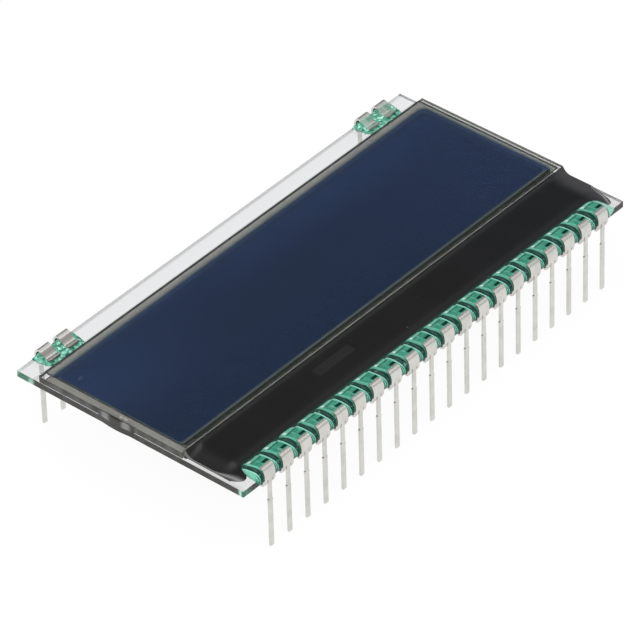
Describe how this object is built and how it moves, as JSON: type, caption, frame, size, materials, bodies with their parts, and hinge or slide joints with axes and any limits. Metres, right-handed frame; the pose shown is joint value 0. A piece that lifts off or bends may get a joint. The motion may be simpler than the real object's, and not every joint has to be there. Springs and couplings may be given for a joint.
{
  "type": "chip-on-glass character display module",
  "caption": "Flat glass character display cell with a blue viewing area, a black coated chip ledge and stamped clip pins bonded along both long edges in green resin.",
  "frame": {"origin": "centre of the bounding box at the plane of the pin tips", "axes": "+X along the full row of pins, +Z out of the display's viewing face, -Y towards the full row and +Y towards the two end pairs"},
  "size_m": [0.0552, 0.0282, 0.0094],
  "materials": {
    "rear_glass": "polished float glass with cut edges",
    "front_glass": "polished float glass with cut edges",
    "seal": "cured epoxy seen through glass",
    "liquid_crystal": "deep blue, negative cell at rest",
    "end_glue": "cured grey adhesive",
    "polarizer": "glossy laminated film",
    "silicon": "bare silicon die",
    "bonding_film": "cured conductive film",
    "black_coat": "glossy black cured coat",
    "green_resin": "glossy translucent green cured resin",
    "tinned_pin": "tin plated stamped sheet, satin"
  },
  "bodies": {
    "root": {"rear_glass": "rear_glass", "front_glass": "front_glass", "perimeter_seal": "seal", "liquid_crystal": "liquid_crystal", "fill_port_plug": "end_glue", "front_polarizer": "polarizer", "rear_polarizer": "polarizer", "driver_ic": "silicon", "bonding_film": "bonding_film", "light_shield": "black_coat", "resin_bead_row": "green_resin", "resin_bead_left": "green_resin", "resin_bead_right": "green_resin", "pin_01": "tinned_pin", "pin_02": "tinned_pin", "pin_03": "tinned_pin", "pin_04": "tinned_pin", "pin_05": "tinned_pin", "pin_06": "tinned_pin", "pin_07": "tinned_pin", "pin_08": "tinned_pin", "pin_09": "tinned_pin", "pin_10": "tinned_pin", "pin_11": "tinned_pin", "pin_12": "tinned_pin", "pin_13": "tinned_pin", "pin_14": "tinned_pin", "pin_15": "tinned_pin", "pin_16": "tinned_pin", "pin_17": "tinned_pin", "pin_18": "tinned_pin", "pin_19": "tinned_pin", "pin_20": "tinned_pin", "pin_21": "tinned_pin", "pin_22": "tinned_pin", "pin_23": "tinned_pin", "pin_24": "tinned_pin"}
  },
  "joints": []
}
